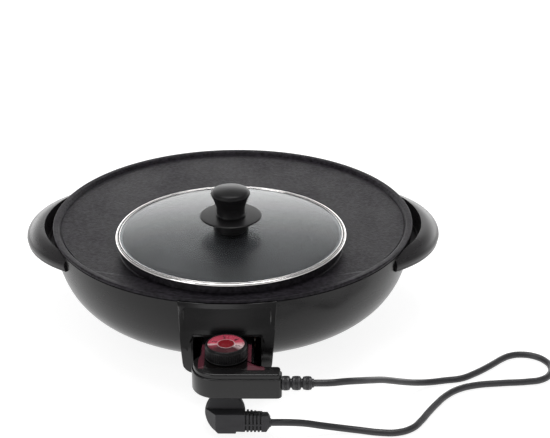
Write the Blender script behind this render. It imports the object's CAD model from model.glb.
"""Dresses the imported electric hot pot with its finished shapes, materials, light and camera."""

import math

import bmesh
import bpy
from bpy.props import FloatProperty, FloatVectorProperty, IntProperty, PointerProperty
from mathutils import Matrix, Vector


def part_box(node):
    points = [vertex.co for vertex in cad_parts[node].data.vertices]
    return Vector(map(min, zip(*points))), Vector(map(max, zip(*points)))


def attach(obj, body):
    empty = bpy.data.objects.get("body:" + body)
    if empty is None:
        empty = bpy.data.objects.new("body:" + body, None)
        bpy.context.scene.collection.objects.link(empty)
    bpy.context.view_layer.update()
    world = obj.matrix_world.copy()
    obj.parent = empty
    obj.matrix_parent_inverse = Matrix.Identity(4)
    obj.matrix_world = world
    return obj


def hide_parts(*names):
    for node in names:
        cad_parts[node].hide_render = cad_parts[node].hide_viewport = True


bl_info = {
    "name": "Electric hot pot",
    "version": (1, 0, 0),
    "blender": (4, 5, 0),
    "location": "3D View > Sidebar > Hot pot",
    "description": "Builds the shapes and finishes of a table grill with a sunken pot on its CAD frame",
    "category": "Object",
}

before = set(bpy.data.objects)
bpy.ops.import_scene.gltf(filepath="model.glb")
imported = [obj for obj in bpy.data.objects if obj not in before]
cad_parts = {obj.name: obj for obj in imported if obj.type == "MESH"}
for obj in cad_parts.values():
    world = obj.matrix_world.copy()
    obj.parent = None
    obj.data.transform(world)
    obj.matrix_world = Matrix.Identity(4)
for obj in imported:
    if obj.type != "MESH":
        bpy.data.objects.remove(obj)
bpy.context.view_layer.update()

# Shapes are made in millimetres about the plate's axis, and TO_PART moves them into the part's frame;
# MM is the count of millimetres in a metre, for the settings, which are in metres
MM = 1000
PAN_Y = 0.0375
TO_PART = Matrix.Translation((0, PAN_Y, 0)) @ Matrix.Scale(0.001, 4)

# Places and levels that several pieces share, in those millimetres
POT_Y = -62.0
DIAL_Y = -237.0
BOWL_RADIUS = 199.0
BOWL_DEPTH = 94.0
BOWL_RIM = 107
PLATE_TOP = 108.5
PLATE_UNDER = 104.5
COLLAR_TOP = 120
GLASS_RADIUS = 123.0

# The lead's route from the control to the plug
CORD_ROUTE = [
    (87, -266.5, 56), (103, -266, 56), (118, -260, 54), (132, -250, 49), (145, -237, 42), (158, -223, 34),
    (171, -210, 25), (184, -197, 16), (197, -186, 9), (211, -178, 5), (226, -173, 4), (243, -169, 4),
    (258.5, -158.5, 4), (271, -147.6, 4), (281.5, -137.2, 4), (291.8, -126.9, 4), (301, -120.8, 4),
    (312, -118.5, 4), (326.3, -122.3, 4), (336.7, -132.8, 4), (340.5, -147, 4), (336.7, -161.3, 4),
    (326.3, -171.7, 4), (312, -175.5, 4), (284, -178.5, 4), (256, -183, 4), (238, -191, 4), (224, -204, 4),
    (213, -220, 4), (203, -237, 4), (195, -252, 4), (185, -266, 4), (170, -274, 4), (152, -274, 4),
    (133, -270, 4), (114, -269, 6), (95, -271, 10), (77, -273, 14), (61, -274.36, 15.68),
    (44, -274.36, 15.68),
]
LEAD_Y, LEAD_Z = CORD_ROUTE[0][1:]

# The plug lies on the table, tilted about X
PLUG_PLACE = Matrix.Translation((-1, -264, 22.126)) @ Matrix.Rotation(math.radians(-23.088), 4, "X")

# LAY_Y and LAY_X lay a standing axis along Y or X; STAND and ALONG_X turn an outline to face Y or X
LAY_Y = Matrix.Rotation(math.radians(-90), 4, "X")
LAY_X = Matrix.Rotation(math.radians(90), 4, "Y")
STAND = Matrix.Rotation(math.radians(90), 4, "X")
ALONG_X = Matrix(((0, 0, 1, 0), (1, 0, 0, 0), (0, 1, 0, 0), (0, 0, 0, 1)))


def half_width(node):
    """Half of a CAD node's size in X, in metres."""
    low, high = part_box(node)
    return (high.x - low.x) / 2


def top_of(node):
    """Height of a CAD node's top, in metres."""
    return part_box(node)[1].z


# Settings


class HotPotSizes(bpy.types.PropertyGroup):
    """Sizes that shape the pieces."""

    plate_radius: FloatProperty(
        name="Plate radius",
        description="From the plate's axis to the lip's outer edge",
        default=half_width("grill_pan"),
        unit="LENGTH",
    )
    lid_radius: FloatProperty(
        name="Lid radius",
        description="From the lid's axis to the outside of its steel rim",
        default=half_width("lid_rim"),
        unit="LENGTH",
    )
    dial_radius: FloatProperty(
        name="Dial radius",
        description="From the spindle to the dial's foot ring",
        default=half_width("dial_knob"),
        unit="LENGTH",
    )
    knob_top: FloatProperty(
        name="Knob height",
        description="Top of the lid's knob above the table",
        default=top_of("knob_grip"),
        unit="LENGTH",
    )
    cord_diameter: FloatProperty(
        name="Cord diameter", description="Outside of the lead", default=0.007, unit="LENGTH"
    )
    handle_edge: FloatProperty(
        name="Handle edge", description="Rounding of the handles' edges", default=0.0014, unit="LENGTH"
    )
    guard_edge: FloatProperty(
        name="Guard edge", description="Rounding of the socket guard's edges", default=0.0022, unit="LENGTH"
    )
    control_edge: FloatProperty(
        name="Control edge", description="Rounding of the control's upper edges", default=0.001, unit="LENGTH"
    )
    dial_ribs: IntProperty(name="Dial ribs", description="Grip ribs around the dial", default=60, min=12)
    rounds: IntProperty(
        name="Turning steps", description="Steps of a full turn on large pieces", default=128, min=32
    )


class HotPotColours(bpy.types.PropertyGroup):
    """Base colours of the finishes."""

    bowl: FloatVectorProperty(
        name="Bowl", description="Enamelled base bowl", subtype="COLOR", default=(0.0042, 0.0038, 0.004)
    )
    gloss: FloatVectorProperty(
        name="Gloss plastic",
        description="Handles, guard and control",
        subtype="COLOR",
        default=(0.004, 0.0037, 0.004),
    )
    knob: FloatVectorProperty(
        name="Knob plastic",
        description="Lid knob and dial",
        subtype="COLOR",
        default=(0.0055, 0.0052, 0.0057),
    )
    coating: FloatVectorProperty(
        name="Plate coating",
        description="Non-stick coating",
        subtype="COLOR",
        default=(0.0205, 0.018, 0.0226),
    )
    coating_speck: FloatVectorProperty(
        name="Coating speck",
        description="Pale specks in the coating",
        subtype="COLOR",
        default=(0.085, 0.083, 0.09),
    )
    glass: FloatVectorProperty(
        name="Lid glass", description="Tint of the glass", subtype="COLOR", default=(0.55, 0.58, 0.6)
    )
    steel: FloatVectorProperty(
        name="Polished steel", description="Lid rim", subtype="COLOR", default=(0.82, 0.8, 0.79)
    )
    lens: FloatVectorProperty(
        name="Pilot lens", description="Dark red lens", subtype="COLOR", default=(0.075, 0.017, 0.026)
    )
    label_pale: FloatVectorProperty(
        name="Label ring", description="Pale red ring of the dial", subtype="COLOR", default=(0.6, 0.12, 0.17)
    )
    label_deep: FloatVectorProperty(
        name="Label centre", description="Deep red middle", subtype="COLOR", default=(0.19, 0.008, 0.014)
    )
    label_dark: FloatVectorProperty(
        name="Label rest zone",
        description="Dark part of the ring",
        subtype="COLOR",
        default=(0.012, 0.006, 0.007),
    )
    marks: FloatVectorProperty(
        name="Dial marks",
        description="Printed numbers and ticks",
        subtype="COLOR",
        default=(0.03, 0.01, 0.012),
    )
    cord: FloatVectorProperty(
        name="Cord", description="Lead and plug", subtype="COLOR", default=(0.022, 0.0215, 0.024)
    )


class HotPotStage(bpy.types.PropertyGroup):
    """Camera, light and floor."""

    focal_length: FloatProperty(
        name="Focal length", description="Camera lens in millimetres", default=104.727, unit="CAMERA"
    )
    floor_colour: FloatVectorProperty(
        name="Floor", description="Pale floor", subtype="COLOR", default=(0.4, 0.4, 0.4)
    )
    floor_glow: FloatProperty(
        name="Floor glow", description="Light that the pale floor passes from below", default=0.85, min=0.0
    )
    top_power: FloatProperty(
        name="Top softbox", description="Power of the overhead light", default=14.0, unit="POWER"
    )
    side_power: FloatProperty(
        name="Side softboxes",
        description="Power of the left light; the right one has a fifth",
        default=9.0,
        unit="POWER",
    )
    front_power: FloatProperty(
        name="Front softbox", description="Power of the light above the camera", default=3.0, unit="POWER"
    )
    backdrop: FloatProperty(
        name="Backdrop", description="Brightness of the surroundings", default=1.0, min=0.0
    )


# Mesh helpers


def arc(cx, cy, radius, start, end, count=8):
    """Points on an arc, angles in degrees."""
    steps = [math.radians(start + (end - start) * i / count) for i in range(count + 1)]
    return [(cx + radius * math.cos(a), cy + radius * math.sin(a)) for a in steps]


def ends(edges):
    """The vertices of some edges."""
    return list({v for e in edges for v in e.verts})


def whole(faces):
    """Faces with their edges and vertices."""
    return list({g for f in faces for g in [f, *f.edges, *f.verts]})


def only(kind, geom):
    """The elements of one kind."""
    return [g for g in geom if isinstance(g, kind)]


def at_height(parts, z, slack=0.001):
    """The edges or faces whose vertices all lie at a height."""
    return [p for p in parts if all(abs(v.co.z - z) < slack for v in p.verts)]


def faces_where(bm, test):
    """The faces whose middle passes a test."""
    return [f for f in bm.faces if test(f.calc_center_median())]


def open_edges(bm):
    """The edges that have a face on one side only."""
    return [e for e in bm.edges if e.is_boundary]


def soften(bm, geom, width, segments=4, affect="EDGES"):
    """Rounds edges, or the corners of an outline."""
    bmesh.ops.bevel(
        bm,
        geom=geom,
        offset=width,
        offset_type="OFFSET",
        segments=segments,
        profile=0.5,
        affect=affect,
        material=-1,
        clamp_overlap=True,
    )


def wire(bm, points, rounds=None, closed=False, segments=5):
    """Joins points with edges, and rounds the corners that have a radius."""
    verts = [bm.verts.new(p) for p in points]
    old = set(bm.edges)
    pairs = list(zip(verts, verts[1:]))
    if closed:
        pairs.append((verts[-1], verts[0]))
    for pair in pairs:
        bm.edges.new(pair)
    for index, radius in (rounds or {}).items():
        soften(bm, [verts[index]], radius, segments, "VERTICES")
    return [e for e in bm.edges if e not in old]


def circle(bm, radius, segments, place):
    """The edges of a new open circle."""
    made = bmesh.ops.create_circle(bm, cap_ends=False, radius=radius, segments=segments, matrix=place)
    return list({e for v in made["verts"] for e in v.link_edges})


def turned(bm, profile, rounds=None, closed=False, steps=64, centre=(0, 0), place=None, segments=5):
    """Spins a profile of radius and height round a standing axis."""
    old = set(bm.verts)
    edges = wire(bm, [(r, 0, z) for r, z in profile], rounds, closed, segments)
    bmesh.ops.spin(
        bm,
        geom=ends(edges) + edges,
        cent=(0, 0, 0),
        axis=(0, 0, 1),
        dvec=(0, 0, 0),
        angle=2 * math.pi,
        steps=steps,
        use_merge=True,
        use_duplicate=False,
    )
    new = [v for v in bm.verts if v not in old]
    bmesh.ops.remove_doubles(bm, verts=new, dist=0.001)
    new = [v for v in bm.verts if v not in old]
    move = Matrix.Translation((centre[0], centre[1], 0))
    bmesh.ops.transform(bm, matrix=(place or Matrix()) @ move, verts=new)
    return new


def prism(bm, outline, low, high, rounds=None, place=None, segments=5):
    """Extrudes a closed outline from one height to another."""
    old = set(bm.verts)
    edges = wire(bm, [(x, y, low) for x, y in outline], rounds, True, segments)
    face = bmesh.ops.contextual_create(bm, geom=edges)["faces"]
    top = bmesh.ops.extrude_face_region(bm, geom=face, use_keep_orig=True)["geom"]
    bmesh.ops.translate(bm, vec=(0, 0, high - low), verts=only(bmesh.types.BMVert, top))
    new = [v for v in bm.verts if v not in old]
    if place:
        bmesh.ops.transform(bm, matrix=place, verts=new)
    return new


def cap_at(bm, z):
    """The largest flat face that lies at a height."""
    return max(at_height(bm.faces, z), key=lambda f: f.calc_area())


def border(bm, face, width):
    """Insets a face, which leaves a border round it."""
    bmesh.ops.inset_region(bm, faces=[face], thickness=width, use_even_offset=True, use_boundary=True)


def push(bm, face, rise):
    """Extrudes a face straight up or down."""
    got = bmesh.ops.extrude_face_region(bm, geom=[face])["geom"]
    bmesh.ops.delete(bm, geom=[face], context="FACES_ONLY")
    moved = only(bmesh.types.BMFace, got)[0]
    bmesh.ops.translate(bm, vec=(0, 0, rise), verts=moved.verts)


def level_edges(bm, z):
    """The sharp edges that lie at a height."""
    sharp = math.radians(30)
    return [e for e in at_height(bm.edges, z) if e.is_manifold and e.calc_face_angle(0) > sharp]


def piece(name, bm, material, body, nodes, sharp=34, soft=0.0, segments=3, limit=40, wall=0.0):
    """Makes the object of a finished mesh, rides it on its body and hides the CAD nodes it stands for."""
    merge = 0.0005
    bmesh.ops.remove_doubles(bm, verts=bm.verts, dist=merge)
    bmesh.ops.dissolve_degenerate(bm, dist=merge, edges=bm.edges)
    bmesh.ops.recalc_face_normals(bm, faces=bm.faces)
    bmesh.ops.transform(bm, matrix=TO_PART, verts=bm.verts)
    mesh = bpy.data.meshes.new(name)
    bm.to_mesh(mesh)
    bm.free()
    mesh.shade_smooth()
    mesh.set_sharp_from_angle(angle=math.radians(sharp))
    obj = bpy.data.objects.new(name, mesh)
    bpy.context.scene.collection.objects.link(obj)
    mesh.materials.append(material)
    if wall:
        skin = obj.modifiers.new("Wall", "SOLIDIFY")
        skin.thickness = wall
        skin.offset = -1
    if soft:
        edge = obj.modifiers.new("Soft edges", "BEVEL")
        edge.width = soft
        edge.segments = segments
        edge.limit_method = "ANGLE"
        edge.angle_limit = math.radians(limit)
        edge.harden_normals = True
    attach(obj, body)
    if nodes:
        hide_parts(*nodes)
    return obj


# Material helpers

# Sockets of a Mix node that mixes colours
MIX_FACTOR = 0
MIX_FIRST = 6
MIX_SECOND = 7
MIX_RESULT = 2


def add(tree, kind, values=None, **settings):
    """Adds a node, sets its properties and its unlinked inputs."""
    node = tree.nodes.new(kind)
    for key, value in settings.items():
        setattr(node, key, value)
    for key, value in (values or {}).items():
        node.inputs[key].default_value = value
    return node


def link(tree, *rows):
    """Links outputs to inputs, each row a node, its output, the next node and its input."""
    for source, output, target, name in rows:
        tree.links.new(source.outputs[output], target.inputs[name])


def two_tone(tree, factor, first, second):
    """Mixes two colours by a socket; each colour is a socket or a plain colour."""
    node = add(tree, "ShaderNodeMix", data_type="RGBA")
    tree.links.new(factor, node.inputs[MIX_FACTOR])
    for index, colour in ((MIX_FIRST, first), (MIX_SECOND, second)):
        if isinstance(colour, bpy.types.NodeSocket):
            tree.links.new(colour, node.inputs[index])
        else:
            node.inputs[index].default_value = (*colour, 1)
    return node.outputs[MIX_RESULT]


def set_stops(ramp, stops):
    """Gives a colour ramp its stops, each a place and a colour."""
    while len(ramp.elements) < len(stops):
        ramp.elements.new(0.5)
    for stop, (place, colour) in zip(ramp.elements, stops):
        stop.position = place
        stop.color = (*colour, 1)


def from_axis(tree, coords):
    """The distance from the pattern's Z axis."""
    flat = add(tree, "ShaderNodeVectorMath", {1: (1.0, 1.0, 0.0)}, operation="MULTIPLY")
    reach = add(tree, "ShaderNodeVectorMath", operation="LENGTH")
    tree.links.new(coords, flat.inputs[0])
    link(tree, (flat, "Vector", reach, 0))
    return reach.outputs["Value"]


def group(name, scale, output):
    """Starts a shader node group with Vector and Scale inputs and one output."""
    tree = bpy.data.node_groups.new(name, "ShaderNodeTree")
    tree.interface.new_socket(name="Vector", in_out="INPUT", socket_type="NodeSocketVector")
    size = tree.interface.new_socket(name="Scale", in_out="INPUT", socket_type="NodeSocketFloat")
    size.default_value = scale
    tree.interface.new_socket(name=output, in_out="OUTPUT", socket_type="NodeSocketFloat")
    return tree, tree.nodes.new("NodeGroupInput"), tree.nodes.new("NodeGroupOutput")


def handling_marks(name):
    """Soft patches and wiped streaks that change the gloss of a handled surface."""
    tree, source, out = group(name, 18.0, "Mask")
    patches = add(tree, "ShaderNodeTexNoise", {"Detail": 5.0, "Roughness": 0.6})
    stretch = add(tree, "ShaderNodeMapping", {"Scale": (1.0, 0.35, 6.0), "Rotation": (0.0, 0.2, 0.5)})
    streaks = add(tree, "ShaderNodeTexNoise", {"Detail": 3.0, "Roughness": 0.55})
    both = add(tree, "ShaderNodeMath", operation="MULTIPLY")
    spread = add(tree, "ShaderNodeMapRange", {"From Min": 0.14, "From Max": 0.4})
    link(
        tree,
        (source, "Vector", patches, "Vector"),
        (source, "Scale", patches, "Scale"),
        (source, "Vector", stretch, "Vector"),
        (stretch, "Vector", streaks, "Vector"),
        (source, "Scale", streaks, "Scale"),
        (patches, "Fac", both, 0),
        (streaks, "Fac", both, 1),
        (both, 0, spread, "Value"),
        (spread, "Result", out, "Mask"),
    )
    return tree


def mould_grain(name):
    """Fine grain of a moulded or cast skin, as a height."""
    tree, source, out = group(name, 900.0, "Height")
    fine = add(tree, "ShaderNodeTexNoise", {"Detail": 3.0, "Roughness": 0.6})
    pits = add(tree, "ShaderNodeTexVoronoi", {"Randomness": 1.0}, feature="SMOOTH_F1")
    both = add(tree, "ShaderNodeMath", {1: 0.6}, operation="MULTIPLY_ADD")
    link(
        tree,
        (source, "Vector", fine, "Vector"),
        (source, "Scale", fine, "Scale"),
        (source, "Vector", pits, "Vector"),
        (source, "Scale", pits, "Scale"),
        (pits, "Distance", both, 0),
        (fine, "Fac", both, 2),
        (both, 0, out, "Height"),
    )
    return tree


def dust_specks(name):
    """Sparse specks of dust and lint."""
    tree, source, out = group(name, 160.0, "Mask")
    cells = add(tree, "ShaderNodeTexVoronoi", {"Randomness": 1.0}, feature="F1")
    near = add(tree, "ShaderNodeMapRange", {"From Min": 0.1, "From Max": 0.04})
    rare = add(tree, "ShaderNodeTexNoise", {"Scale": 40.0, "Detail": 2.0})
    keep = add(tree, "ShaderNodeMapRange", {"From Min": 0.52, "From Max": 0.7})
    both = add(tree, "ShaderNodeMath", operation="MULTIPLY")
    link(
        tree,
        (source, "Vector", cells, "Vector"),
        (source, "Scale", cells, "Scale"),
        (source, "Vector", rare, "Vector"),
        (cells, "Distance", near, "Value"),
        (rare, "Fac", keep, "Value"),
        (near, "Result", both, 0),
        (keep, "Result", both, 1),
        (both, 0, out, "Mask"),
    )
    return tree


def turning_lines(name):
    """Fine rings left by spinning or turning, round the pattern's Z axis, as a height."""
    tree, source, out = group(name, 1500.0, "Height")
    reach = from_axis(tree, source.outputs["Vector"])
    rings = add(tree, "ShaderNodeTexNoise", {"Detail": 4.0, "Roughness": 0.7}, noise_dimensions="1D")
    tree.links.new(reach, rings.inputs["W"])
    link(tree, (source, "Scale", rings, "Scale"), (rings, "Fac", out, "Height"))
    return tree


GROUPS = {
    "Handling marks": handling_marks,
    "Mould grain": mould_grain,
    "Dust specks": dust_specks,
    "Turning lines": turning_lines,
}


def use(tree, name, coords, scale):
    """Places a shared group in a material with its own scale; its first use builds the group."""
    node = tree.nodes.new("ShaderNodeGroup")
    node.node_tree = bpy.data.node_groups.get(name) or GROUPS[name](name)
    node.inputs["Scale"].default_value = scale
    tree.links.new(coords, node.inputs["Vector"])
    return node


def start(name, rough, marks, centre=None):
    """A new material whose handling marks vary its roughness, with its coordinates and those marks."""
    material = bpy.data.materials.new(name)
    material.use_nodes = True
    tree = material.node_tree
    coords = tree.nodes.new("ShaderNodeTexCoord").outputs["Object"]
    if centre:
        shift = add(tree, "ShaderNodeMapping", {"Location": tuple(-c for c in centre)})
        tree.links.new(coords, shift.inputs["Vector"])
        coords = shift.outputs["Vector"]
    worn = use(tree, "Handling marks", coords, marks)
    gloss = add(tree, "ShaderNodeMapRange", {"To Min": rough[0], "To Max": rough[1]})
    shader = tree.nodes["Principled BSDF"]
    link(tree, (worn, "Mask", gloss, "Value"), (gloss, "Result", shader, "Roughness"))
    return material, coords, worn.outputs["Mask"]


def specks(tree, coords, scale, amount):
    """A mask of dust specks that is only so strong."""
    dust = use(tree, "Dust specks", coords, scale)
    part = add(tree, "ShaderNodeMath", {1: amount}, operation="MULTIPLY")
    link(tree, (dust, "Mask", part, 0))
    return part.outputs[0]


def finish(
    name, colour, rough, second=None, centre=None, marks=18.0, grain=None, rings=None, dust=0.0, **sockets
):
    """A surface with two tones, uneven gloss, grain or turning lines, and a little dust."""
    if name in bpy.data.materials:
        return bpy.data.materials[name]
    material, coords, worn = start(name, rough, marks, centre)
    tree = material.node_tree
    shader = tree.nodes["Principled BSDF"]
    tint = two_tone(tree, worn, colour, second or [c * 1.35 for c in colour])
    if dust:
        tint = two_tone(tree, specks(tree, coords, 420.0, dust), tint, (0.32, 0.31, 0.3))
    tree.links.new(tint, shader.inputs["Base Color"])
    relief = grain or rings
    if relief:
        skin = use(tree, "Mould grain" if grain else "Turning lines", coords, relief[0])
        bump = add(tree, "ShaderNodeBump", {"Strength": 1.0, "Distance": relief[1]})
        link(tree, (skin, "Height", bump, "Height"), (bump, "Normal", shader, "Normal"))
    for socket, value in sockets.items():
        shader.inputs[socket.replace("_", " ")].default_value = value
    return material


def opened(material):
    """A finish's tree, its shader and the socket that its colour comes from."""
    tree = material.node_tree
    shader = tree.nodes["Principled BSDF"]
    return tree, shader, shader.inputs["Base Color"].links[0].from_socket


def colours():
    """The scene's colour settings."""
    return bpy.context.scene.hot_pot_colours


def over_pot():
    """The pot's axis in the part's frame, to centre a turned finish on."""
    return (0, POT_Y / MM + PAN_Y, 0)


# Finishes


def bowl_enamel():
    """Black enamel of the base bowl."""
    return finish(
        "Bowl enamel", colours().bowl, (0.2, 0.3), marks=9.0, grain=(260.0, 0.00001), dust=0.2,
        Specular_IOR_Level=0.29,
    )


def gloss_plastic():
    """Glossy black moulding of the guard and the control."""
    return finish(
        "Gloss plastic", colours().gloss, (0.17, 0.27), marks=14.0, grain=(420.0, 0.000006), dust=0.25,
        Specular_IOR_Level=0.4,
    )


def handle_plastic():
    """The handles' moulding, a little paler and duller than the guard's."""
    return finish(
        "Handle plastic", [c * 3.4 for c in colours().gloss], (0.24, 0.36), marks=14.0,
        grain=(420.0, 0.000008), dust=0.25, Specular_IOR_Level=0.42,
    )


def knob_plastic():
    """Satin black plastic of the knob, the dial and the feet."""
    return finish(
        "Knob plastic", colours().knob, (0.34, 0.44), marks=24.0, grain=(1500.0, 0.000012), dust=0.2,
        Specular_IOR_Level=0.19,
    )


def cord_plastic():
    """Satin sheath of the lead."""
    return finish(
        "Cord plastic", colours().cord, (0.36, 0.5), marks=30.0, grain=(1300.0, 0.000016), dust=0.15
    )


def plug_plastic():
    """Grained moulding of the plug."""
    return finish(
        "Plug plastic", colours().cord, (0.42, 0.56), marks=40.0, grain=(1000.0, 0.00003), dust=0.3
    )


def rubber():
    """Matt rubber of the pads and the rim's seal."""
    return finish(
        "Pad rubber", (0.014, 0.014, 0.0145), (0.6, 0.78), marks=60.0, grain=(1400.0, 0.00003), dust=0.4
    )


def polished_steel():
    """Spun and polished steel of the lid's rim."""
    return finish(
        "Polished steel", colours().steel, (0.06, 0.13), second=[c * 0.86 for c in colours().steel],
        centre=over_pot(), marks=25.0, rings=(900.0, 0.000004), Metallic=1.0,
    )


def zinc_steel():
    """Zinc plate of the screws and clips."""
    return finish(
        "Zinc plated steel", (0.56, 0.56, 0.53), (0.26, 0.42), second=(0.46, 0.47, 0.46), marks=120.0,
        grain=(2200.0, 0.00001), Metallic=1.0,
    )


def plate_coating():
    """Dark non-stick coating: a fine pebbled skin with pale specks and wiped patches."""
    coating = colours().coating
    made = finish(
        "Plate coating", coating, (0.4, 0.54), second=[c * 1.4 for c in coating], marks=22.0,
        grain=(620.0, 0.0002), Specular_IOR_Level=0.1,
    )
    tree, shader, tint = opened(made)
    coords = tree.nodes["Texture Coordinate"].outputs["Object"]
    pebbles = use(tree, "Mould grain", coords, 270.0)
    spread = add(tree, "ShaderNodeMapRange", {"From Min": 0.55, "From Max": 1.0})
    link(tree, (pebbles, "Height", spread, "Value"))
    tint = two_tone(tree, spread.outputs["Result"], [c * 0.3 for c in coating], tint)
    tint = two_tone(tree, specks(tree, coords, 900.0, 0.55), tint, colours().coating_speck)
    tree.links.new(tint, shader.inputs["Base Color"])
    return made


def lid_glass():
    """Clear tempered glass with faint wiping marks; light passes it on its way to the pot."""
    material = start("Lid glass", (0.19, 0.21), 16.0)[0]
    tree = material.node_tree
    shader = tree.nodes["Principled BSDF"]
    shader.inputs["Base Color"].default_value = (*colours().glass, 1)
    shader.inputs["Transmission Weight"].default_value = 1.0
    shader.inputs["IOR"].default_value = 1.5
    clear = add(tree, "ShaderNodeBsdfTransparent", {"Color": (0.86, 0.89, 0.89, 1)})
    path = tree.nodes.new("ShaderNodeLightPath")
    mix = tree.nodes.new("ShaderNodeMixShader")
    link(
        tree,
        (path, "Is Shadow Ray", mix, 0),
        (shader, 0, mix, 1),
        (clear, 0, mix, 2),
        (mix, 0, tree.nodes["Material Output"], "Surface"),
    )
    return material


def pilot_lens():
    """Dark red translucent plastic, with a black backing in front of the dial."""
    made = finish(
        "Pilot lens", colours().lens, (0.1, 0.2), second=[c * 1.5 for c in colours().lens], marks=40.0,
        grain=(500.0, 0.000005), dust=0.2, Coat_Weight=0.5,
    )
    tree, shader, tint = opened(made)
    split = tree.nodes.new("ShaderNodeSeparateXYZ")
    aside = add(tree, "ShaderNodeMath", operation="ABSOLUTE")
    window = add(tree, "ShaderNodeMapRange", {"From Min": 0.0208, "From Max": 0.0222})
    link(
        tree,
        (tree.nodes["Texture Coordinate"], "Object", split, 0),
        (split, "X", aside, 0),
        (aside, 0, window, "Value"),
    )
    tint = two_tone(tree, window.outputs["Result"], (0.004, 0.003, 0.003), tint)
    tree.links.new(tint, shader.inputs["Base Color"])
    return made


def dial_print():
    """Printed label: a deep red middle, a pale ring and a scale that runs from pale to dark."""
    made = finish(
        "Dial print", colours().label_pale, (0.2, 0.34), centre=(0, DIAL_Y / MM + PAN_Y, 0), marks=90.0,
        grain=(1500.0, 0.000006), Specular_IOR_Level=0.2,
    )
    tree, shader, tint = opened(made)
    coords = tree.nodes["Mapping"].outputs["Vector"]
    turn = add(tree, "ShaderNodeTexGradient", gradient_type="RADIAL")
    tree.links.new(coords, turn.inputs["Vector"])
    scale = add(tree, "ShaderNodeValToRGB")
    pale = (0.72, 0.58, 0.58)
    warm = (0.5, 0.07, 0.11)
    dark = colours().label_dark
    stops = [(0.0, pale), (0.05, (0.2, 0.03, 0.045)), (0.14, dark), (0.37, dark), (0.45, pale)]
    stops += [(0.55, warm), (0.76, (0.42, 0.05, 0.085)), (0.95, warm)]
    set_stops(scale.color_ramp, stops)
    ring = add(tree, "ShaderNodeMix", {MIX_FACTOR: 0.93}, data_type="RGBA")
    tree.links.new(tint, ring.inputs[MIX_FIRST])
    link(tree, (turn, "Fac", scale, "Fac"), (scale, "Color", ring, MIX_SECOND))
    tint = ring.outputs[MIX_RESULT]
    reach = from_axis(tree, coords)
    blur = 0.0003
    for edge, shade in ((0.0088, (0.5, 0.4, 0.41)), (0.0082, colours().label_deep)):
        inside = add(tree, "ShaderNodeMapRange", {"From Min": edge + blur, "From Max": edge - blur})
        tree.links.new(reach, inside.inputs["Value"])
        tint = two_tone(tree, inside.outputs["Result"], tint, shade)
    tree.links.new(tint, shader.inputs["Base Color"])
    return made


# Operators


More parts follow.
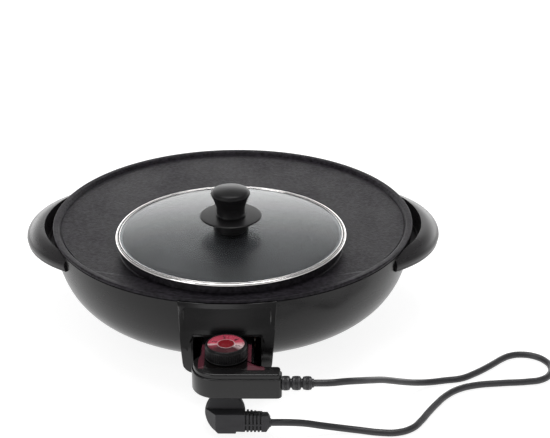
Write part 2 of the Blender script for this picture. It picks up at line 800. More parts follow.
class HOTPOT_OT_stage(bpy.types.Operator):
    """Camera, pale floor, surroundings and soft lights"""

    bl_idname = "hotpot.stage"
    bl_label = "Stage"

    # The fitted camera's place, its line of sight and its roll in degrees, and where the lights aim
    eye = (0.0614, -1.5858, 0.8603)
    sight = (-0.0081, 0.9077, -0.4195)
    roll = -0.22
    aim = (0, 0, 0.08)

    def execute(self, context):
        scene = context.scene
        stage = scene.hot_pot_stage
        lens = bpy.data.cameras.new("Camera")
        lens.lens = stage.focal_length
        lens.sensor_width = 36
        lens.sensor_fit = "HORIZONTAL"
        camera = bpy.data.objects.new("Camera", lens)
        scene.collection.objects.link(camera)
        look = Vector(self.sight).to_track_quat("-Z", "Y")
        turn = look.to_matrix().to_4x4() @ Matrix.Rotation(math.radians(self.roll), 4, "Z")
        camera.matrix_world = Matrix.Translation(self.eye) @ turn
        scene.camera = camera
        scene.view_settings.view_transform = "Standard"
        self.floor(scene, stage)
        self.surroundings(scene, stage)
        self.softbox("Top softbox", (0.0, 0.1, 1.6), (1.1, 0.8), stage.top_power)
        self.softbox("Left softbox", (-1.5, -1.6, 0.55), (0.9, 0.9), stage.side_power)
        self.softbox("Right softbox", (1.6, -1.4, 0.55), (0.7, 0.7), stage.side_power / 5)
        self.softbox("Front softbox", (-0.3, -1.8, 2.3), (1.0, 0.7), stage.front_power)
        return {"FINISHED"}

    def floor(self, scene, stage):
        """A wide pale floor that glows a little, so that it stays light round the pot."""
        bm = bmesh.new()
        bmesh.ops.create_grid(bm, x_segments=8, y_segments=8, size=6.0)
        mesh = bpy.data.meshes.new("Floor")
        bm.to_mesh(mesh)
        bm.free()
        floor = bpy.data.objects.new("Floor", mesh)
        scene.collection.objects.link(floor)
        pale = finish("Pale floor", stage.floor_colour, (0.7, 0.8), second=stage.floor_colour, marks=2.0)
        shader = pale.node_tree.nodes["Principled BSDF"]
        shader.inputs["Specular IOR Level"].default_value = 0.1
        shader.inputs["Emission Color"].default_value = (1, 1, 1, 1)
        shader.inputs["Emission Strength"].default_value = stage.floor_glow
        mesh.materials.append(pale)

    def surroundings(self, scene, stage):
        """A white sweep whose low back is bright and whose front is dim, as the finishes mirror it."""
        world = bpy.data.worlds.new("Studio")
        world.use_nodes = True
        tree = world.node_tree
        where = tree.nodes.new("ShaderNodeTexCoord")
        split = tree.nodes.new("ShaderNodeSeparateXYZ")
        ramp = tree.nodes.new("ShaderNodeValToRGB")
        levels = [(0.0, 3.2), (0.25, 3.2), (0.33, 2.0), (0.42, 0.7), (0.49, 0.22), (0.6, 0.22), (1.0, 0.26)]
        set_stops(ramp.color_ramp, [(place, (grey, grey, grey)) for place, grey in levels])
        behind = add(tree, "ShaderNodeMapRange", {"From Min": 0.3, "From Max": 0.8})
        path = tree.nodes.new("ShaderNodeLightPath")
        back = tree.nodes["Background"]
        back.inputs["Strength"].default_value = stage.backdrop
        link(
            tree,
            (where, "Generated", split, 0),
            (split, "Z", ramp, "Fac"),
            (split, "Y", behind, "Value"),
        )
        sweep = two_tone(tree, behind.outputs["Result"], (0.34, 0.34, 0.34), ramp.outputs["Color"])
        seen = two_tone(tree, path.outputs["Is Camera Ray"], sweep, (1, 1, 1))
        tree.links.new(seen, back.inputs["Color"])
        scene.world = world

    def softbox(self, name, place, size, power):
        """A rectangular light that faces the pot."""
        light = bpy.data.lights.new(name, "AREA")
        light.shape = "RECTANGLE"
        light.size = size[0]
        light.size_y = size[1]
        light.energy = power
        lamp = bpy.data.objects.new(name, light)
        bpy.context.scene.collection.objects.link(lamp)
        face = (Vector(self.aim) - Vector(place)).to_track_quat("-Z", "Y")
        lamp.matrix_world = Matrix.Translation(place) @ face.to_matrix().to_4x4()


class HOTPOT_OT_lead(bpy.types.Operator):
    """Mains cord with its strain relief and round plug"""

    bl_idname = "hotpot.lead"
    bl_label = "Lead"

    def execute(self, context):
        diameter = context.scene.hot_pot_sizes.cord_diameter
        curve = bpy.data.curves.new("cord", "CURVE")
        curve.dimensions = "3D"
        curve.resolution_u = 8
        curve.bevel_depth = diameter / 2
        curve.bevel_resolution = 5
        curve.use_fill_caps = True
        spline = curve.splines.new("BEZIER")
        spline.bezier_points.add(len(CORD_ROUTE) - 1)
        for knot, place in zip(spline.bezier_points, CORD_ROUTE):
            knot.co = TO_PART @ Vector(place)
            knot.handle_left_type = "AUTO"
            knot.handle_right_type = "AUTO"
        cord = bpy.data.objects.new("cord", curve)
        context.scene.collection.objects.link(cord)
        curve.materials.append(cord_plastic())
        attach(cord, "control")
        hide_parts("mains_cord")
        relief = self.relief()
        plug = self.plug()
        return {"FINISHED"}

    def length(self):
        """The lead's own length: the route's chords and the little that its bends add."""
        bends = 1.003
        points = [Vector(p) for p in CORD_ROUTE]
        return 0.001 * bends * sum((b - a).length for a, b in zip(points, points[1:]))

    def relief(self):
        """Three blocks on a core, slotted from the front and the back, with notches between them."""
        bm = bmesh.new()
        place = Matrix.Translation((0, LEAD_Y, LEAD_Z)) @ LAY_X
        core = [(2, 50), (5, 50), (5, 52.4), (4.5, 52.5), (4.4, 86.6), (4, 87), (2, 87)]
        turned(bm, core, {}, True, 32, place=place)
        pitch = 32 / 3
        waist = 4.6
        web_half = 3.4
        for k in range(3):
            start = 55.1 + k * pitch
            radius = 7.0 - 0.2 * k
            near, far = start + 0.28 * pitch, start + 0.48 * pitch
            last = start + 0.74 * pitch
            foot = start - 1.0 if k else start
            ring = [(3, foot), (waist, foot), (radius, start + 0.2), (radius, near), (3, near)]
            turned(bm, ring, {2: 0.5, 3: 0.5}, True, 40, place=place, segments=3)
            ring = [(3, far), (radius, far), (radius, last - 0.2), (waist, last + 1.0), (3, last + 1.0)]
            turned(bm, ring, {1: 0.5, 2: 0.5}, True, 40, place=place, segments=3)
            front, rear = LEAD_Y - web_half, LEAD_Y + web_half
            web = [(near - 1, front), (far + 1, front), (far + 1, rear), (near - 1, rear)]
            prism(bm, web, LEAD_Z - radius + 0.6, LEAD_Z + radius - 0.6)
        return piece("strain_relief_sleeve", bm, cord_plastic(), "control", ["strain_relief"])

    def plug(self):
        """Round face, faceted grip block and slotted sleeve, tilted on the table."""
        bm = bmesh.new()
        face = [(0, 0), (18.4, 0), (20, 2), (20, 9), (0, 9)]
        turned(bm, face, {1: 1.0, 3: 0.8}, False, 64, place=LAY_Y)
        self.grip(bm)
        self.sleeve(bm)
        bmesh.ops.transform(bm, matrix=PLUG_PLACE, verts=bm.verts)
        return piece(
            "plug", bm, plug_plastic(), "control", ["plug_body"],
            sharp=28, soft=0.00045, limit=25,
        )

    def grip(self, bm):
        """The block on the round face: sloped above, with a slanting side on the left."""
        old = set(bm.verts)
        outline = [(20.1, 2.7), (-19.4, 2.7)] + arc(0, 0, 19.6, 184, 242, 8)
        outline += [(-6.5, -20), (10.9, -20), (11.6, -18.2), (20.1, -18.4)]
        prism(bm, outline, -2, 14, None, STAND)
        self.trim(bm, old, (0, -14, -1.6), (0, -0.337, 0.941))
        self.trim(bm, old, (-9, -14, 0), (-0.773, -0.635, 0))

    def trim(self, bm, old, place, axis):
        """Cuts a flat side on the newest form and closes it."""
        form = [v for v in bm.verts if v not in old]
        parts = {g for v in form for g in [v, *v.link_edges, *v.link_faces]}
        got = bmesh.ops.bisect_plane(bm, geom=list(parts), plane_co=place, plane_no=axis, clear_outer=True)
        bmesh.ops.contextual_create(bm, geom=only(bmesh.types.BMEdge, got["geom_cut"]))

    def slice(self, bm, start, end, inset=0.0, front=0.0):
        """A stretch of the sleeve, from the section that it has at its middle."""
        run = (start + end) / 2 - 20
        edge = -1.6 - 0.06 * run - 0.5 * inset
        top = 2.6 - 0.139 * run - inset
        low = -18.4 + inset
        section = [(-1, low), (-14 + front, low), (-14 + front, edge), (-2, top), (-1, top)]
        prism(bm, section, start, end, None, ALONG_X)

    def sleeve(self, bm):
        """Five slots in two rows, a plain end block and the cord's grommet."""
        pitch = 3.65
        self.slice(bm, 20, 37, 0.9, 2.6)
        for k in range(4):
            self.slice(bm, 21.6 + k * pitch, 23.75 + k * pitch)
        prism(bm, [(20, -13.95), (37, -13.95), (37, -10), (20, -10)], -12.6, -11)
        old = set(bm.verts)
        self.slice(bm, 36.2, 45)
        self.trim(bm, old, (41, 0, -18.4), (0.78, 0, -0.625))
        self.trim(bm, old, (41.5, -14, 0), (0.707, -0.707, 0))
        self.trim(bm, old, (42.5, 0, -0.6), (0.83, 0, 0.56))
        grommet = [(3.4, 43), (4.5, 43), (4.5, 45.2), (4.0, 45.7), (3.4, 45.7)]
        turned(bm, grommet, {}, True, 32, place=Matrix.Translation((0, -7, -10)) @ LAY_X)


def bowl_radius(drop, radius=BOWL_RADIUS, full=BOWL_DEPTH):
    """The bowl's radius at a drop under its rim: steep near the rim, round below."""
    squareness = 6.3
    return radius * (1 - (drop / full) ** 2) ** (1 / squareness)


class HOTPOT_OT_bowl(bpy.types.Operator):
    """Base bowl with its socket window"""

    bl_idname = "hotpot.bowl"
    bl_label = "Bowl"

    def execute(self, context):
        steps = context.scene.hot_pot_sizes.rounds
        bm = bmesh.new()
        outer = self.line(BOWL_RADIUS, BOWL_DEPTH, 88.0)
        inner = self.line(196.5, 90.7, 85.5)
        profile = [(0, 19), (60, 19), (62, 18.2), (66, 18.2), (68, 19)]
        profile += outer[::-1] + inner + [(0, 21.5)]
        turned(bm, profile, {5: 3.0}, False, steps)
        self.window(bm)
        piece("base_bowl", bm, bowl_enamel(), "base", ["base_shell"])
        return {"FINISHED"}

    def line(self, radius, full, depth):
        """The bowl's section from its rim down, as radius and height."""
        drops = [depth * (1 - (1 - i / 26) ** 1.7) for i in range(27)]
        return [(bowl_radius(d, radius, full), BOWL_RIM - d) for d in drops]

    def window(self, bm):
        """Cuts the opening that the control's neck passes."""
        side, low, high = 29, 40.5, 71
        front, around = -120, 60
        cut = whole(faces_where(bm, lambda c: c.y < front and abs(c.x) < around))
        across = [((-side, 0, 0), (1, 0, 0)), ((side, 0, 0), (1, 0, 0))]
        level = [((0, 0, low), (0, 0, 1)), ((0, 0, high), (0, 0, 1))]
        for place, axis in across + level:
            cut = bmesh.ops.bisect_plane(bm, geom=cut, plane_co=place, plane_no=axis)["geom"]
        inside = faces_where(bm, lambda c: c.y < front and abs(c.x) < side and low < c.z < high)
        bmesh.ops.delete(bm, geom=inside, context="FACES")
        bmesh.ops.bridge_loops(bm, edges=open_edges(bm))


class HOTPOT_OT_handles(bpy.types.Operator):
    """Two ear handles with sloping tops and finger gaps"""

    bl_idname = "hotpot.handles"
    bl_label = "Handles"

    # The right ear is swept about axis_x, and its finger gap is round about gap_x
    axis_x = 118.0
    gap_x = 85.15
    # Its crown falls from a ridge to a shoulder, and its underside is flat
    ridge = 94.0
    fall = 18
    shoulder = 96
    crest = 109
    under = 90.0

    def execute(self, context):
        edge = context.scene.hot_pot_sizes.handle_edge
        for side, name in ((1, "right"), (-1, "left")):
            bm = bmesh.new()
            self.ear(bm)
            if side < 0:
                bmesh.ops.scale(bm, vec=(-1, 1, 1), verts=bm.verts)
            node = "handle_" + name
            piece(
                "ear_" + node, bm, handle_plastic(), "base", [node],
                sharp=40, soft=edge, segments=4, limit=50,
            )
        return {"FINISHED"}

    def inner(self, angle, z):
        """How far the ray at an angle runs before it leaves the finger gap or the bowl."""
        c = math.cos(angle)
        gap = 124.85 - 4 * (self.crest - z) / (self.crest - self.under)
        bowl = bowl_radius(max(BOWL_RIM - z, 0.0)) - 0.4
        runs = []
        for centre, radius in ((self.gap_x, gap), (0.0, bowl)):
            b = (self.axis_x - centre) * c
            runs.append(-b + math.sqrt(b * b - (self.axis_x - centre) ** 2 + radius * radius))
        return max(runs)

    def section(self, angle):
        """Points round the ear at one angle, as distance and height."""
        crown = self.crest - self.shoulder
        start = self.inner(angle, 108)
        lean = max((start - self.ridge) / self.fall, 0.0)
        first = math.asin(min(lean, 0.98))
        points = [(start, self.shoulder + crown * math.cos(first))]
        for i in range(11):
            a = first + (math.pi / 2 - first) * i / 10
            points.append((self.ridge + self.fall * math.sin(a), self.shoulder + crown * math.cos(a)))
        low = self.inner(angle, self.under)
        points += [(111.0, 94.0), (111.0, 91.5), (109.0, self.under)]
        points += [((low + 109) / 2, self.under), (low, self.under)]
        return [(max(r, self.inner(angle, z) + 0.02 * i), z) for i, (r, z) in enumerate(points)]

    def gap_floor(self, bm):
        """The thin floor and wall that close the finger gap underneath."""
        outer = arc(self.gap_x, 0, 123.3, -38.3, 38.3, 32)
        prism(bm, outer + arc(0, 0, 196.4, 22.7, -22.7, 32), 83, 85.4)
        prism(bm, outer + arc(self.gap_x, 0, 120.9, 38.3, -38.3, 32), 83, 90.6)

    def ear(self, bm):
        """Sweeps the section round the right ear and closes its two ends."""
        self.gap_floor(bm)
        loops = []
        for i in range(73):
            angle = math.radians(-57.5 + 115 * i / 72)
            ring = []
            for r, z in self.section(angle):
                ring.append((self.axis_x + r * math.cos(angle), r * math.sin(angle), z))
            loops.append(wire(bm, ring, None, True))
        for a, b in zip(loops, loops[1:]):
            bmesh.ops.bridge_loops(bm, edges=a + b)
        for loop in (loops[0], loops[-1]):
            bmesh.ops.contextual_create(bm, geom=loop)


class HOTPOT_OT_feet(bpy.types.Operator):
    """Four feet with rubber pads"""

    bl_idname = "hotpot.feet"
    bl_label = "Feet"

    def execute(self, context):
        spread = 74
        for end, y in (("front", -spread), ("rear", spread)):
            for side, x in (("left", -spread), ("right", spread)):
                self.foot(end + "_" + side, (x, y))
        return {"FINISHED"}

    def foot(self, name, place):
        """A post with a pocket, and the pad in it."""
        bm = bmesh.new()
        post = [(0, 3), (9.5, 3), (9.5, 1.5), (13, 1.5), (15, 19), (0, 19)]
        turned(bm, post, {3: 1.0}, False, 40, place, segments=3)
        piece("post_" + name, bm, knob_plastic(), "base", ["foot_" + name])
        bm = bmesh.new()
        pad = [(0, 1), (5.2, 1), (5.5, 0), (9.45, 0), (9.45, 3), (0, 3)]
        turned(bm, pad, {2: 0.25, 3: 0.6}, False, 40, place, segments=3)
        piece("sole_" + name, bm, rubber(), "base", ["pad_" + name])


class HOTPOT_OT_plate(bpy.types.Operator):
    """Cast grill plate with its lip, front flat and sunken pot"""

    bl_idname = "hotpot.plate"
    bl_label = "Grill plate"

    def execute(self, context):
        sizes = context.scene.hot_pot_sizes
        edge = sizes.plate_radius * MM
        pot_axis = (0, POT_Y)
        bm = bmesh.new()
        lip = [(190.5, PLATE_TOP), (190.8, 107.9), (191.4, 107.9), (193.5, 111.5), (edge - 0.8, 112)]
        lip += [(edge, 111.2), (edge, 109), (edge - 2, 108.7), (edge - 2, 107)]
        lip += [(195.4, 107), (195.4, PLATE_UNDER), (188, PLATE_UNDER)]
        turned(bm, lip, {3: 0.9, 4: 0.5, 5: 0.5, 6: 0.5}, False, 2 * sizes.rounds, segments=3)
        pot = [(121.5, PLATE_TOP), (120.5, 109.5), (119.5, 119), (118.5, COLLAR_TOP), (115.5, COLLAR_TOP)]
        pot += [(106, 74), (98, 64), (0, 64)]
        turned(bm, pot, {0: 0.9, 2: 0.5, 3: 0.5, 4: 1.0, 5: 5.0, 6: 5.0}, False, sizes.rounds, pot_axis)
        under = [(0, 60), (98, 60), (110, 74), (118.5, PLATE_UNDER), (121.5, PLATE_UNDER)]
        turned(bm, under, {1: 3.0}, False, sizes.rounds, pot_axis)
        self.floors(bm)
        self.flat(bm)
        self.underside(bm, pot_axis)
        piece("cast_plate", bm, plate_coating(), "base", ["grill_pan"], sharp=30)
        return {"FINISHED"}

    def underside(self, bm, pot_axis):
        """Three screw posts, the ring that holds the element and the lug of the terminals."""
        for angle in (90, 210, 330):
            place = arc(*pot_axis, 50, angle, angle, 1)[0]
            turned(bm, [(0, 21.6), (4, 21.6), (4, 41), (7, 41), (7, 62), (0, 62)], {}, False, 24, place)
        turned(bm, [(72, 60.5), (72, 56), (84, 56), (84, 60.5)], {}, True, 64, pot_axis)
        prism(bm, [(-28, -174), (28, -174), (28, -158), (-28, -158)], 46, 76)

    def floors(self, bm):
        """Joins the lip to the collar with the plate's floor, above and below."""
        for z in (PLATE_TOP, PLATE_UNDER):
            bmesh.ops.bridge_loops(bm, edges=at_height(open_edges(bm), z, 0.02))

    def flat(self, bm):
        """The flat in front of the pot, nearly level with the lip and joined to it."""
        top = 111.4
        outer = arc(0, 0, 194.2, -138.2, -41.8, 48)
        collar = arc(0, POT_Y, 118.6, -48.2, -131.8, 40)
        flat = prism(bm, outer + collar, 106, top)
        own = [e for e in bm.edges if e.verts[0] in flat and e.verts[1] in flat]
        soften(bm, [e for e in at_height(own, top, 0.01) if self.free(e)], 1.2, 3)

    def free(self, edge):
        """True for the flat's two slanting edges that face the grill floor."""
        middle = (edge.verts[0].co + edge.verts[1].co) / 2
        return middle.xy.length < 190 and (middle.xy - Vector((0, POT_Y))).length > 120


class HOTPOT_OT_lid(bpy.types.Operator):
    """Domed glass lid with its rolled steel rim"""

    bl_idname = "hotpot.lid"
    bl_label = "Lid"

    def execute(self, context):
        sizes = context.scene.hot_pot_sizes
        edge = sizes.lid_radius * MM
        pot_axis = (0, POT_Y)
        self.glass(sizes.rounds, pot_axis)
        bm = bmesh.new()
        band = [(117, COLLAR_TOP), (edge - 1, COLLAR_TOP), (edge, 121), (edge, 123.3), (122, 123.3)]
        band += [(121.9, 122.5), (120.7, 122.6), (120.6, 123.3), (119.7, 123.3), (119.6, 122.6)]
        band += [(123.05, 122.3), (123.05, 121), (117, 121)]
        corners = {1: 0.6, 2: 0.4, 3: 1.7, 4: 0.3, 7: 0.3, 8: 0.3}
        turned(bm, band, corners, True, 2 * sizes.rounds, pot_axis, segments=4)
        piece("rolled_rim", bm, polished_steel(), "lid", ["lid_rim"], sharp=50)
        bm = bmesh.new()
        seal = [(120.72, 122.6), (121.88, 122.5), (121.88, 122.75), (120.72, 122.85)]
        turned(bm, seal, {}, True, 2 * sizes.rounds, pot_axis)
        piece("rim_seal", bm, rubber(), "lid", [])
        return {"FINISHED"}

    def glass(self, steps, axis):
        """The dome, hollow underneath, with the knob's hole and a level edge in the rim."""
        bm = bmesh.new()
        hole = 4
        over = (122.25, 5.75)
        under = (121, 3)
        radii = [GLASS_RADIUS * i / 24 for i in range(1, 25)]
        top = [(r, self.dome(r, *over)) for r in [hole, *radii]]
        low = [(GLASS_RADIUS, 121.1), (115, 121.1)]
        low += [(r, self.dome(r, *under)) for r in [*radii[::-1], hole] if r < 114]
        turned(bm, top + low, {}, True, steps, axis)
        piece("glass_dome", bm, lid_glass(), "lid", ["lid_glass"])

    def dome(self, r, edge, rise):
        """Height of a dome at a radius, from its height at the edge and its rise."""
        ball = (GLASS_RADIUS * GLASS_RADIUS + rise * rise) / (2 * rise)
        return edge + rise - ball + math.sqrt(ball * ball - r * r)


class HOTPOT_OT_knob(bpy.types.Operator):
    """Lid knob: seat, finger guard and turned grip"""

    bl_idname = "hotpot.knob"
    bl_label = "Knob"

    def execute(self, context):
        top = context.scene.hot_pot_sizes.knob_top * MM
        pot_axis = (0, POT_Y)
        bm = bmesh.new()
        disc = [(0, 127.9), (18.2, 127.9), (19, 128.7), (18.6, 140), (20, 141), (32.5, 142.3), (33.5, 142.7)]
        disc += [(33.5, 143.3), (32.3, 144), (17, 144.2), (0, 144.2)]
        turned(bm, disc, {1: 0.3, 3: 1.0, 4: 0.8, 6: 0.2, 7: 0.2, 8: 0.6}, False, 96, pot_axis, segments=3)
        piece("knob_guard", bm, knob_plastic(), "lid", ["knob_flange"])
        bm = bmesh.new()
        ball = 75
        crown = [18 * (1 - i / 12) for i in range(1, 13)]
        grip = [(0, 144), (16, 144), (16, 145.6), (15.3, 146.6), (15.3, top - 22), (16, top - 19)]
        grip += arc(17, top - 6.19, 4, -50, 64, 14)
        grip += [(x, top - ball + math.sqrt(ball * ball - x * x)) for x in crown]
        turned(bm, grip, {2: 0.4, 3: 0.4, 5: 1.5}, False, 96, pot_axis, segments=3)
        piece("knob_cap", bm, knob_plastic(), "lid", ["knob_grip"], sharp=50)
        return {"FINISHED"}


class HOTPOT_OT_guard(bpy.types.Operator):
    """Socket guard on the bowl's front, with a sunk panel and a framed opening"""

    bl_idname = "hotpot.guard"
    bl_label = "Socket guard"

    # The opening's half width, foot and top, and the height where the face starts to lean back
    mouth_x = 36.5
    mouth_low = 36
    mouth_high = 78
    fold = 60

    def execute(self, context):
        bm = bmesh.new()
        outline = [(50.5, 0, 108.4), (-50.5, 0, 108.4), (-44.5, 0, 34), (44.5, 0, 34)]
        outer = wire(bm, outline, {2: 12, 3: 12}, True, 8)
        x, low, high = self.mouth_x, self.mouth_low, self.mouth_high
        opening = [(x, 0, high), (-x, 0, high), (-x, 0, low), (x, 0, low)]
        inner = wire(bm, opening, {0: 3, 1: 3, 2: 3, 3: 3}, True, 4)
        bmesh.ops.bridge_loops(bm, edges=outer + inner)
        self.cut(bm, [(0, 0, z) for z in (48, self.fold, 66, 72)], (0, 0, 1))
        self.panel(bm)
        for x in (-40, -31, -24, -18, -12, -6, 0, 6, 12, 18, 24, 31, 40):
            upper = whole(faces_where(bm, lambda c: c.z > self.fold))
            bmesh.ops.bisect_plane(bm, geom=upper, plane_co=(x, 0, 0), plane_no=(1, 0, 0))
        for v in bm.verts:
            v.co.y -= self.face(v.co.z) - self.bend(v.co)
        rim = open_edges(bm)
        mouth = [e for e in rim if all(self.in_mouth(v.co) for v in e.verts)]
        self.frame(bm, mouth)
        outside = [e for e in rim if e not in mouth]
        self.sides(bm, outside)
        soften(bm, outside, context.scene.hot_pot_sizes.guard_edge * MM, 5)
        piece(
            "front_guard", bm, gloss_plastic(), "base", ["socket_guard"],
            sharp=30, soft=0.0004, limit=60, wall=0.0022,
        )
        return {"FINISHED"}

    def in_mouth(self, co):
        """True for a point on the opening's edge."""
        slack = 0.1
        within = self.mouth_low - slack < co.z < self.mouth_high + slack
        return within and abs(co.x) < self.mouth_x + slack

    def cut(self, bm, places, axis):
        """Cuts the whole face along some planes."""
        for place in places:
            bmesh.ops.bisect_plane(bm, geom=[*bm.verts, *bm.edges, *bm.faces], plane_co=place, plane_no=axis)

    def face(self, z):
        """How far the guard's face stands in front of the plate's axis at a height."""
        line = [(0, 205), (48, 213), (60, 213), (104.6, 204), (109, 200.3)]
        for (z0, y0), (z1, y1) in zip(line, line[1:]):
            if z <= z1:
                return y0 + (y1 - y0) * (z - z0) / (z1 - z0)
        return 200.3

    def bend(self, co):
        """The guard's face is flat at its foot and follows the lip's round at its top."""
        part = min(max((co.z - self.fold) / 44, 0.0), 1.0)
        return part * (201 - math.sqrt(201 * 201 - co.x * co.x))

    def panel(self, bm):
        """Sinks the panel above the opening, deepest at its top."""
        low, high, side, turn = 82, 104.6, 44.5, 4
        self.cut(bm, [(-side, 0, 0), (side, 0, 0)], (1, 0, 0))
        self.cut(bm, [(0, 0, low), (0, 0, high)], (0, 0, 1))
        for flank in (-1, 1):
            for x, z in arc(0, 0, turn, 15, 75, 2):
                out = Vector((flank * x, 0, z))
                part = whole(faces_where(bm, lambda c: abs(c.x) < side and low < c.z < high))
                spot = Vector((flank * (side - turn), 0, high - turn)) + out
                bmesh.ops.bisect_plane(bm, geom=part, plane_co=spot, plane_no=out)
        inside = []
        for face in faces_where(bm, lambda c: abs(c.x) < side and low < c.z < high):
            c = face.calc_center_median()
            over = Vector((max(abs(c.x) - side + turn, 0), max(c.z - high + turn, 0)))
            if over.length < turn:
                inside.append(face)
        one = bmesh.ops.dissolve_faces(bm, faces=inside, use_verts=False)["region"]
        border(bm, one[0], 0.8)
        for v in one[0].verts:
            v.co.y += 1.4 * max(v.co.z - low - 1, 0) / (high - low) + 0.02

    def frame(self, bm, mouth):
        """Raises the frame round the opening, narrows it and turns its inner edge back into the guard."""
        middle = (self.mouth_low + self.mouth_high) / 2
        for y, narrow in ((-1.0, False), (0.0, True), (4.5, False)):
            got = bmesh.ops.extrude_edge_only(bm, edges=mouth)["geom"]
            mouth = only(bmesh.types.BMEdge, got)
            for v in ends(mouth):
                v.co.y += y
                if narrow:
                    v.co.x *= 34.5 / self.mouth_x
                    v.co.z = middle + (v.co.z - middle) * 19 / 21

    def sides(self, bm, rim):
        """Runs the guard's sides back to the bowl."""
        got = bmesh.ops.extrude_edge_only(bm, edges=rim)["geom"]
        for v in only(bmesh.types.BMVert, got):
            radius = bowl_radius(BOWL_RIM - v.co.z) - 1.2
            v.co.y = -math.sqrt(radius * radius - v.co.x * v.co.x)


class HOTPOT_OT_control(bpy.types.Operator):
    """Plug-in control: lower shell, stepped cover and dark red lens"""

    bl_idname = "hotpot.control"
    bl_label = "Control"

    outline = [
        (-27, -183), (-27, -232), (-34, -242), (-34, -275),
        (55.6, -275), (55.6, -254.5), (27, -254.5), (27, -183),
    ]
    corners = {1: 4, 2: 4, 3: 26, 4: 5, 5: 5, 6: 12}
    # Heights of the foot, the joint between the shells, the cover's step and its top
    foot = 42.5
    joint = 62.5
    step = 64.2
    top = 69

    def execute(self, context):
        edge = context.scene.hot_pot_sizes.control_edge * MM
        bm = bmesh.new()
        prism(bm, self.outline, self.foot, self.joint, self.corners, segments=10)
        soften(bm, level_edges(bm, self.foot), 1.6, 4)
        self.hollow(bm, 2.0, -18)
        self.sockets(bm)
        piece("lower_housing", bm, gloss_plastic(), "control", ["control_base"], sharp=30)
        bm = bmesh.new()
        prism(bm, self.outline, self.joint, self.step, self.corners, segments=10)
        soften(bm, level_edges(bm, self.step), edge * 1.2, 5)
        raised = cap_at(bm, self.step)
        border(bm, raised, 0.4)
        push(bm, raised, self.top - self.step)
        soften(bm, level_edges(bm, self.top), edge * 1.8, 6)
        self.hollow(bm, 2.5, 3.5)
        piece("upper_housing", bm, gloss_plastic(), "control", ["control_cover"], sharp=30)
        self.lens()
        return {"FINISHED"}

    def hollow(self, bm, wall, depth):
        """Hollows a shell out from the joint."""
        face = cap_at(bm, self.joint)
        border(bm, face, wall)
        push(bm, face, depth)

    def sockets(self, bm):
        """Opens the two terminal holes in the neck's back wall."""
        outside, inside = -183, -185
        near, far, middle = 7, 23, 15
        back = [f for f in bm.faces if all(v.co.y > inside - 0.1 for v in f.verts)]
        cut = whole([f for f in back if abs(f.normal.y) > 0.9])
        for x in (-far, -near, near, far):
            cut = bmesh.ops.bisect_plane(bm, geom=cut, plane_co=(x, 0, 0), plane_no=(1, 0, 0))["geom"]
        for side in (-1, 1):
            rings = []
            for y in (outside, inside):
                field = faces_where(bm, lambda c: abs(c.y - y) < 0.1 and near < side * c.x < far)
                rim = list({e for f in field for e in f.edges})
                bmesh.ops.delete(bm, geom=field, context="FACES_ONLY")
                ring = circle(bm, 6.2, 24, Matrix.Translation((middle * side, y, 54.5)) @ LAY_Y)
                bmesh.ops.bridge_loops(bm, edges=rim + ring)
                rings += ring
            bmesh.ops.bridge_loops(bm, edges=rings)

    def lens(self):
        """The lens plate round the dial's spindle, with its tongue on the wing."""
        bm = bmesh.new()
        low, high = 67.6, 69.25
        shape = [(-25, -213), (-25, -234), (-27.5, -243), (-27, -261), (14, -261), (20, -264), (38.5, -264)]
        shape += [(38.5, -257.5), (25, -257.5), (25, -213)]
        rounds = {0: 1.5, 1: 3, 2: 3, 3: 1.5, 5: 1, 6: 1, 7: 1.5, 8: 11, 9: 1.5}
        rim = wire(bm, [(x, y, low) for x, y in shape], rounds, True, 8)
        hole = circle(bm, 7.05, 32, Matrix.Translation((0, DIAL_Y, low)))
        bmesh.ops.bridge_loops(bm, edges=rim + hole)
        top = bmesh.ops.extrude_face_region(bm, geom=list(bm.faces), use_keep_orig=True)["geom"]
        bmesh.ops.translate(bm, vec=(0, 0, high - low), verts=only(bmesh.types.BMVert, top))
        soften(bm, level_edges(bm, high), 0.35, 3)
        piece("lamp_lens", bm, pilot_lens(), "control", ["pilot_lens"], sharp=30)


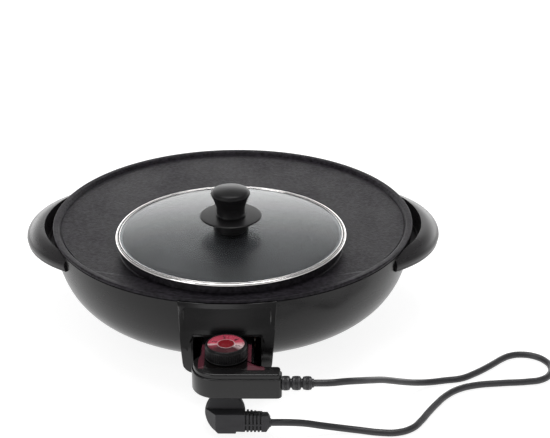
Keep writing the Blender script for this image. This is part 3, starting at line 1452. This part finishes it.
class HOTPOT_OT_dial(bpy.types.Operator):
    """Ribbed temperature dial with its printed label, ticks and numbers"""

    bl_idname = "hotpot.dial"
    bl_label = "Dial"

    def execute(self, context):
        sizes = context.scene.hot_pot_sizes
        edge = sizes.dial_radius * MM
        centre = (0, DIAL_Y)
        bm = bmesh.new()
        self.ribs(bm, centre, edge - 0.3, edge - 0.95, 4 * sizes.dial_ribs)
        foot = [(3.1, 70), (edge, 70), (edge, 71.5), (edge - 1.2, 71.8), (edge - 1.2, 72.6), (3.1, 72.6)]
        turned(bm, foot, {1: 0.5, 2: 0.4}, True, 120, centre, segments=3)
        crown = [(3.1, 81.2), (edge - 0.15, 81.2), (edge - 0.15, 81.7), (edge - 1.6, 84)]
        crown += [(18.4, 84), (18.4, 83), (3.1, 83)]
        turned(bm, crown, {2: 0.4, 3: 0.6, 4: 0.2}, True, 120, centre, segments=3)
        piece("ribbed_dial", bm, knob_plastic(), "dial", ["dial_knob"], sharp=30)
        bm = bmesh.new()
        label = [(0, 83.02), (18.3, 83.02), (18.3, 83.6), (0, 83.6)]
        turned(bm, label, {2: 0.2}, False, 96, centre, segments=2)
        piece("dial_face", bm, dial_print(), "dial", ["dial_label"], sharp=30)
        self.numbers(centre)
        return {"FINISHED"}

    def ribs(self, bm, centre, outer, inner, count):
        """The grip's wall, whose points stand in turn on two radii, two and two."""
        place = Matrix.Translation((*centre, 72.2))
        ring = bmesh.ops.create_circle(bm, cap_ends=True, radius=outer, segments=count, matrix=place)["verts"]
        for i, v in enumerate(ring):
            if i % 4 > 1:
                v.co.xy = Vector(centre) + (v.co.xy - Vector(centre)) * inner / outer
        push(bm, next(iter(bm.faces)), 9.4)

    def numbers(self, centre):
        """Ticks and the numbers 1 to 5 on the pale ring."""
        ink = finish("Dial ink", colours().marks, (0.3, 0.45), marks=200.0, grain=(2500.0, 0.000004))
        bm = bmesh.new()
        end, half = 17.8, 0.24
        for k in range(25):
            angle = math.radians(-20 + 10 * k)
            start = end - (3.0 if k % 6 == 0 else 1.6)
            turn = Matrix.Translation((*centre, 0)) @ Matrix.Rotation(angle, 4, "Z")
            prism(bm, [(start, -half), (end, -half), (end, half), (start, half)], 83.55, 83.66, {}, turn)
        for k in range(5):
            angle = math.radians(220 - 60 * k)
            self.number(bm, str(k + 1), angle, centre)
        piece("dial_marks", bm, ink, "dial", [], sharp=30)

    def number(self, bm, digit, angle, centre):
        """One number as a thin mesh, upright seen from outside the dial."""
        text = bpy.data.curves.new("digit", "FONT")
        text.body = digit
        text.size = 6.4
        text.offset = 0.12
        text.align_x = "CENTER"
        text.align_y = "CENTER"
        text.extrude = 0.05
        carrier = bpy.data.objects.new("digit", text)
        bpy.context.scene.collection.objects.link(carrier)
        bpy.context.view_layer.update()
        seen = carrier.evaluated_get(bpy.context.evaluated_depsgraph_get())
        mesh = bpy.data.meshes.new_from_object(seen)
        turn = Matrix.Rotation(angle - math.pi / 2, 4, "Z")
        place = Matrix.Translation((*centre, 83.62)) @ turn @ Matrix.Translation((0, 12.2, 0))
        mesh.transform(place)
        bm.from_mesh(mesh)
        bpy.data.objects.remove(carrier)
        bpy.data.curves.remove(text)
        bpy.data.meshes.remove(mesh)


class HOTPOT_OT_inner_parts(bpy.types.Operator):
    """Finishes for the CAD pieces that keep their own shape"""

    bl_idname = "hotpot.inner_parts"
    bl_label = "Inner parts"

    def execute(self, context):
        zinc = zinc_steel()
        ceramic = finish(
            "Ceramic", (0.72, 0.69, 0.6), (0.3, 0.45), marks=150.0, grain=(2600.0, 0.00001), dust=0.2
        )
        board = finish(
            "Terminal board", (0.13, 0.055, 0.026), (0.45, 0.6), marks=90.0, grain=(700.0, 0.00002)
        )
        sheath = finish(
            "Element sheath", (0.12, 0.115, 0.11), (0.4, 0.55), marks=70.0, grain=(1500.0, 0.00001),
            Metallic=1.0,
        )
        mirror = finish(
            "Reflector sheet", (0.7, 0.7, 0.71), (0.2, 0.34), centre=over_pot(), marks=30.0,
            rings=(700.0, 0.000005), Metallic=1.0,
        )
        brass = finish(
            "Contact brass", (0.6, 0.42, 0.14), (0.25, 0.4), marks=200.0, grain=(2500.0, 0.000006),
            Metallic=1.0,
        )
        block = finish(
            "Contact block", (0.045, 0.045, 0.05), (0.5, 0.65), marks=90.0, grain=(900.0, 0.00002)
        )
        lamp = finish("Lamp glass", (0.7, 0.22, 0.12), (0.06, 0.14), marks=300.0, Transmission_Weight=0.5)
        pin = finish(
            "Nickel pin", (0.66, 0.64, 0.6), (0.14, 0.28), marks=200.0, grain=(2600.0, 0.000004),
            Metallic=1.0,
        )
        kept = {
            "handle_screws": zinc, "foot_screws": zinc, "pan_screws": zinc, "carrier_screws": zinc,
            "guard_screws": zinc, "control_screws": zinc, "reflector_clips": zinc, "knob_screw": zinc,
            "dial_spindle": zinc, "knob_washer": knob_plastic(), "heating_element": sheath,
            "heat_reflector": mirror, "terminal_pins": pin, "probe_tube": pin, "plug_pins": pin,
            "plug_earth_strips": brass, "terminal_bushes": ceramic, "terminal_carrier": board,
            "contact_sleeves": brass, "contact_block": block, "thermostat_switch": brass, "pilot_lamp": lamp,
        }
        for node, material in kept.items():
            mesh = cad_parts[node].data
            mesh.materials.clear()
            mesh.materials.append(material)
        return {"FINISHED"}


class HOTPOT_PT_panel(bpy.types.Panel):
    """Sizes, colours, stage and the steps that build the hot pot"""

    bl_idname = "HOTPOT_PT_panel"
    bl_label = "Hot pot"
    bl_space_type = "VIEW_3D"
    bl_region_type = "UI"
    bl_category = "Hot pot"

    def draw(self, context):
        layout = self.layout
        scene = context.scene
        for settings in (scene.hot_pot_sizes, scene.hot_pot_colours, scene.hot_pot_stage):
            box = layout.box()
            for key in settings.__annotations__:
                box.prop(settings, key)
        for operator in OPERATORS:
            layout.operator(operator.bl_idname)


SETTINGS = (HotPotSizes, HotPotColours, HotPotStage)
OPERATORS = (
    HOTPOT_OT_stage, HOTPOT_OT_lead, HOTPOT_OT_bowl, HOTPOT_OT_handles, HOTPOT_OT_feet, HOTPOT_OT_plate,
    HOTPOT_OT_lid, HOTPOT_OT_knob, HOTPOT_OT_guard, HOTPOT_OT_control, HOTPOT_OT_dial, HOTPOT_OT_inner_parts,
)


def register():
    """Registers the settings, the operators and the panel."""
    for made in (*SETTINGS, *OPERATORS, HOTPOT_PT_panel):
        bpy.utils.register_class(made)
    bpy.types.Scene.hot_pot_sizes = PointerProperty(type=HotPotSizes)
    bpy.types.Scene.hot_pot_colours = PointerProperty(type=HotPotColours)
    bpy.types.Scene.hot_pot_stage = PointerProperty(type=HotPotStage)


def unregister():
    """Takes everything off again, in the opposite order."""
    del bpy.types.Scene.hot_pot_stage
    del bpy.types.Scene.hot_pot_colours
    del bpy.types.Scene.hot_pot_sizes
    for made in reversed((*SETTINGS, *OPERATORS, HOTPOT_PT_panel)):
        bpy.utils.unregister_class(made)


def main():
    """Builds the whole hot pot and notes its size beside the CAD model's."""
    register()
    bpy.ops.hotpot.stage()
    bpy.ops.hotpot.lead()
    bpy.ops.hotpot.bowl()
    bpy.ops.hotpot.handles()
    bpy.ops.hotpot.feet()
    bpy.ops.hotpot.plate()
    bpy.ops.hotpot.lid()
    bpy.ops.hotpot.knob()
    bpy.ops.hotpot.guard()
    bpy.ops.hotpot.control()
    bpy.ops.hotpot.dial()
    bpy.ops.hotpot.inner_parts()


if __name__ == "__main__":
    main()
